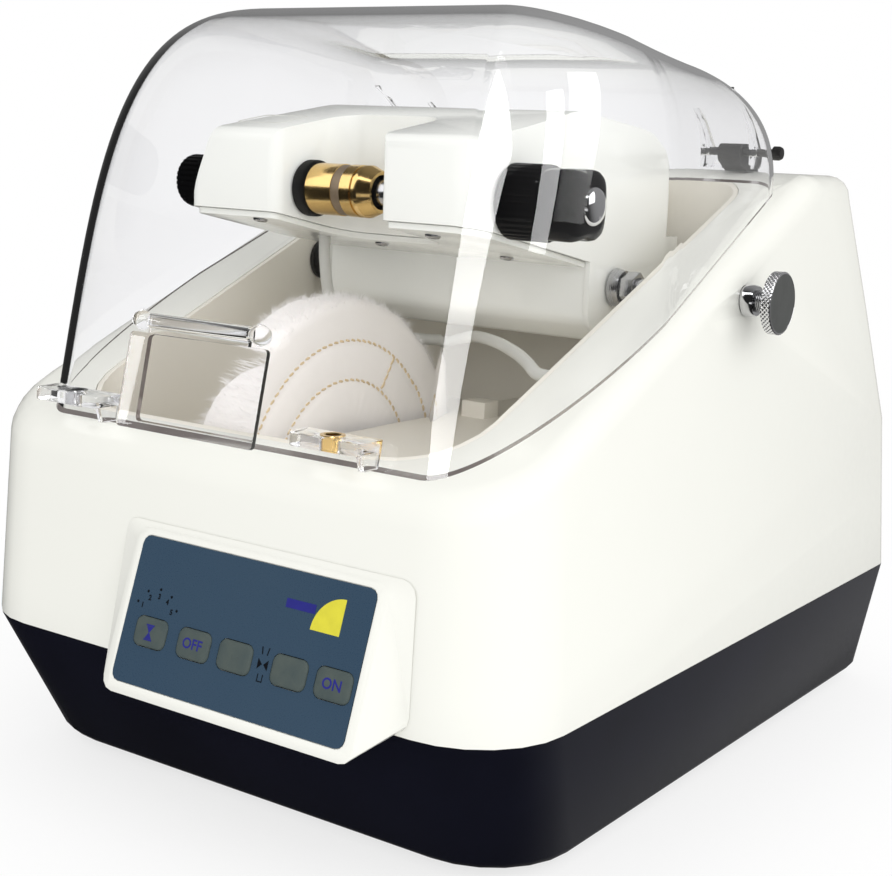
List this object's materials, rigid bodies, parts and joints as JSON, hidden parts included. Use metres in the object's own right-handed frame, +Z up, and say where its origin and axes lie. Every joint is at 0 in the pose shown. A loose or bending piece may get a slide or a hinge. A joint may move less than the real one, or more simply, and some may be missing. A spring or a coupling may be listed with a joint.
{
  "type": "lens edge polisher",
  "caption": "Bench-top automatic lens edge polisher: clear hinged hood over a stitched cloth buffing wheel, swinging lens carriage with screw clamp, and a tilted membrane keypad.",
  "frame": {"origin": "bottom centre of the bounding box, at the underside of the feet", "axes": "+X to the operator's right, -Y towards the operator, +Z up; every shaft runs along X"},
  "size_m": [0.3084, 0.4198, 0.3457],
  "materials": {
    "base_tray": "gloss navy-black moulding",
    "foot_front_left": "matt black rubber",
    "foot_front_right": "matt black rubber",
    "foot_rear_left": "matt black rubber",
    "foot_rear_right": "matt black rubber",
    "power_inlet": "black moulded plastic",
    "upper_housing": "warm white painted shell",
    "splash_basin": "off-white moulded tub",
    "console_housing": "warm white painted shell",
    "console_membrane": "blue-grey membrane",
    "console_board": "green circuit board",
    "wheel_motor": "dark grey metal",
    "motor_cradle": "black moulded plastic",
    "drive_belt": "matt black rubber",
    "bearing_block": "cast aluminium",
    "wheel_bearing": "bright turned steel",
    "control_board": "green circuit board",
    "hinge_block_left": "black moulded plastic",
    "hinge_block_right": "black moulded plastic",
    "pivot_bush_left": "black moulded plastic",
    "pivot_collar": "polished chrome plate",
    "cable_grommet": "matt black rubber",
    "carriage_cable": "white cable sheath",
    "hood": "clear acrylic",
    "hood_tab_left": "clear acrylic",
    "hood_tab_right": "clear acrylic",
    "hood_bracket_left": "clear acrylic",
    "hood_bracket_right": "clear acrylic",
    "hinge_pin_left": "black moulded plastic",
    "hinge_pin_right": "black moulded plastic",
    "flap_hinge_rod": "clear acrylic",
    "window_flap": "clear acrylic",
    "pivot_shaft": "bright turned steel",
    "pivot_lock_nut": "bright turned steel",
    "adjusting_knob": "polished chrome plate",
    "carriage_shell": "white enamel on a casting",
    "carriage_pan": "white enamel on a casting",
    "gear_bracket": "bright turned steel",
    "lens_motor": "dark grey metal",
    "lens_spindle": "bright turned steel",
    "spindle_knob": "glossy black phenolic",
    "rubber_ring": "matt black rubber",
    "brass_chuck": "turned brass",
    "spindle_gear": "white acetal",
    "idler_gear": "white acetal",
    "motor_pinion": "turned brass",
    "clamp_shaft": "bright turned steel",
    "clamp_knob": "glossy black phenolic",
    "clamp_dome": "polished chrome plate",
    "buffing_wheel": "white stitched cotton cloth with a fluffed rim",
    "wheel_flange": "bright turned steel",
    "wheel_nut": "bright turned steel",
    "wheel_spindle": "bright turned steel",
    "wheel_pulley": "cast aluminium",
    "motor_pulley": "dark grey metal",
    "button_timer": "grey-green membrane key",
    "button_off": "grey-green membrane key",
    "button_release": "grey-green membrane key",
    "button_clamp": "grey-green membrane key",
    "button_on": "grey-green membrane key"
  },
  "bodies": {
    "root": {"base_tray": "base_tray", "foot_front_left": "foot_front_left", "foot_front_right": "foot_front_right", "foot_rear_left": "foot_rear_left", "foot_rear_right": "foot_rear_right", "power_inlet": "power_inlet", "upper_housing": "upper_housing", "splash_basin": "splash_basin", "console_housing": "console_housing", "console_membrane": "console_membrane", "console_board": "console_board", "wheel_motor": "wheel_motor", "motor_cradle": "motor_cradle", "drive_belt": "drive_belt", "bearing_block": "bearing_block", "wheel_bearing": "wheel_bearing", "control_board": "control_board", "hinge_block_left": "hinge_block_left", "hinge_block_right": "hinge_block_right", "pivot_bush_left": "pivot_bush_left", "pivot_collar": "pivot_collar", "cable_grommet": "cable_grommet", "carriage_cable": "carriage_cable"},
    "hood": {"hood": "hood", "hood_tab_left": "hood_tab_left", "hood_tab_right": "hood_tab_right", "hood_bracket_left": "hood_bracket_left", "hood_bracket_right": "hood_bracket_right", "hinge_pin_left": "hinge_pin_left", "hinge_pin_right": "hinge_pin_right", "flap_hinge_rod": "flap_hinge_rod"},
    "flap": {"window_flap": "window_flap"},
    "traverse": {"pivot_shaft": "pivot_shaft", "pivot_lock_nut": "pivot_lock_nut"},
    "adjuster": {"adjusting_knob": "adjusting_knob"},
    "carriage": {"carriage_shell": "carriage_shell", "carriage_pan": "carriage_pan", "gear_bracket": "gear_bracket", "lens_motor": "lens_motor"},
    "lens_drive": {"lens_spindle": "lens_spindle", "spindle_knob": "spindle_knob", "rubber_ring": "rubber_ring", "brass_chuck": "brass_chuck", "spindle_gear": "spindle_gear"},
    "idler": {"idler_gear": "idler_gear"},
    "pinion": {"motor_pinion": "motor_pinion"},
    "clamp_rod": {"clamp_shaft": "clamp_shaft"},
    "clamp_grip": {"clamp_knob": "clamp_knob", "clamp_dome": "clamp_dome"},
    "wheel": {"buffing_wheel": "buffing_wheel", "wheel_flange": "wheel_flange", "wheel_nut": "wheel_nut", "wheel_spindle": "wheel_spindle", "wheel_pulley": "wheel_pulley"},
    "motor_rotor": {"motor_pulley": "motor_pulley"},
    "key_timer": {"button_timer": "button_timer"},
    "key_off": {"button_off": "button_off"},
    "key_release": {"button_release": "button_release"},
    "key_clamp": {"button_clamp": "button_clamp"},
    "key_on": {"button_on": "button_on"}
  },
  "joints": [
    {"name": "hood_hinge", "type": "hinge", "parent": "root", "child": "hood", "pos_m": [-0.0042, 0.08687, 0.289], "axis": [-1, 0, 0], "range_deg": [0, 75]},
    {"name": "flap_hinge", "type": "hinge", "parent": "hood", "child": "flap", "pos_m": [-0.0042, -0.17013, 0.2095], "axis": [-1, 0, 0], "range_deg": [0, 110]},
    {"name": "adjust_knob_turn", "type": "hinge", "parent": "traverse", "child": "adjuster", "pos_m": [0.1518, 0.01037, 0.2244], "axis": [1, 0, 0], "range_deg": [-1008, 1008], "deforming": ["carriage_cable"]},
    {"name": "traverse_slide", "type": "slide", "parent": "root", "child": "traverse", "axis": [1, 0, 0], "range_m": [-0.0035, 0.0035], "deforming": ["carriage_cable"]},
    {"name": "carriage_swing", "type": "hinge", "parent": "traverse", "child": "carriage", "pos_m": [-0.0042, 0.01037, 0.2244], "axis": [1, 0, 0], "range_deg": [0, 15], "deforming": ["carriage_cable"]},
    {"name": "lens_spindle_turn", "type": "hinge", "parent": "carriage", "child": "lens_drive", "pos_m": [-0.0642, -0.08063, 0.265], "axis": [1, 0, 0], "continuous": true},
    {"name": "idler_turn", "type": "hinge", "parent": "carriage", "child": "idler", "pos_m": [-0.0727, -0.05413, 0.265], "axis": [1, 0, 0], "continuous": true},
    {"name": "pinion_turn", "type": "hinge", "parent": "carriage", "child": "pinion", "pos_m": [-0.0727, -0.03263, 0.265], "axis": [1, 0, 0], "continuous": true},
    {"name": "clamp_knob_turn", "type": "hinge", "parent": "carriage", "child": "clamp_grip", "pos_m": [0.0878, -0.08063, 0.265], "axis": [1, 0, 0], "range_deg": [0, 720]},
    {"name": "clamp_rod_slide", "type": "slide", "parent": "carriage", "child": "clamp_rod", "axis": [1, 0, 0], "range_m": [0, 0.012]},
    {"name": "wheel_spin", "type": "hinge", "parent": "root", "child": "wheel", "pos_m": [-0.0322, -0.07353, 0.1282], "axis": [1, 0, 0], "continuous": true},
    {"name": "motor_spin", "type": "hinge", "parent": "root", "child": "motor_rotor", "pos_m": [-0.1222, 0.07137, 0.05], "axis": [1, 0, 0], "continuous": true},
    {"name": "press_timer", "type": "slide", "parent": "root", "child": "key_timer", "axis": [0, 0.947, -0.3213], "range_m": [0, 0.0008], "stiffness_N_per_m": 400, "springref_m": -0.001},
    {"name": "press_off", "type": "slide", "parent": "root", "child": "key_off", "axis": [0, 0.947, -0.3213], "range_m": [0, 0.0008], "stiffness_N_per_m": 400, "springref_m": -0.001},
    {"name": "press_release", "type": "slide", "parent": "root", "child": "key_release", "axis": [0, 0.947, -0.3213], "range_m": [0, 0.0008], "stiffness_N_per_m": 400, "springref_m": -0.001},
    {"name": "press_clamp", "type": "slide", "parent": "root", "child": "key_clamp", "axis": [0, 0.947, -0.3213], "range_m": [0, 0.0008], "stiffness_N_per_m": 400, "springref_m": -0.001},
    {"name": "press_on", "type": "slide", "parent": "root", "child": "key_on", "axis": [0, 0.947, -0.3213], "range_m": [0, 0.0008], "stiffness_N_per_m": 400, "springref_m": -0.001}
  ],
  "couplings": [
    {"joint": "adjust_knob_turn", "follows": "traverse_slide", "rad_per_m": 5026.5},
    {"joint": "idler_turn", "follows": "lens_spindle_turn", "ratio": -0.90909},
    {"joint": "pinion_turn", "follows": "lens_spindle_turn", "ratio": 1.6667},
    {"joint": "clamp_knob_turn", "follows": "clamp_rod_slide", "rad_per_m": 1047.2},
    {"joint": "motor_spin", "follows": "wheel_spin", "ratio": 1.7143}
  ]
}
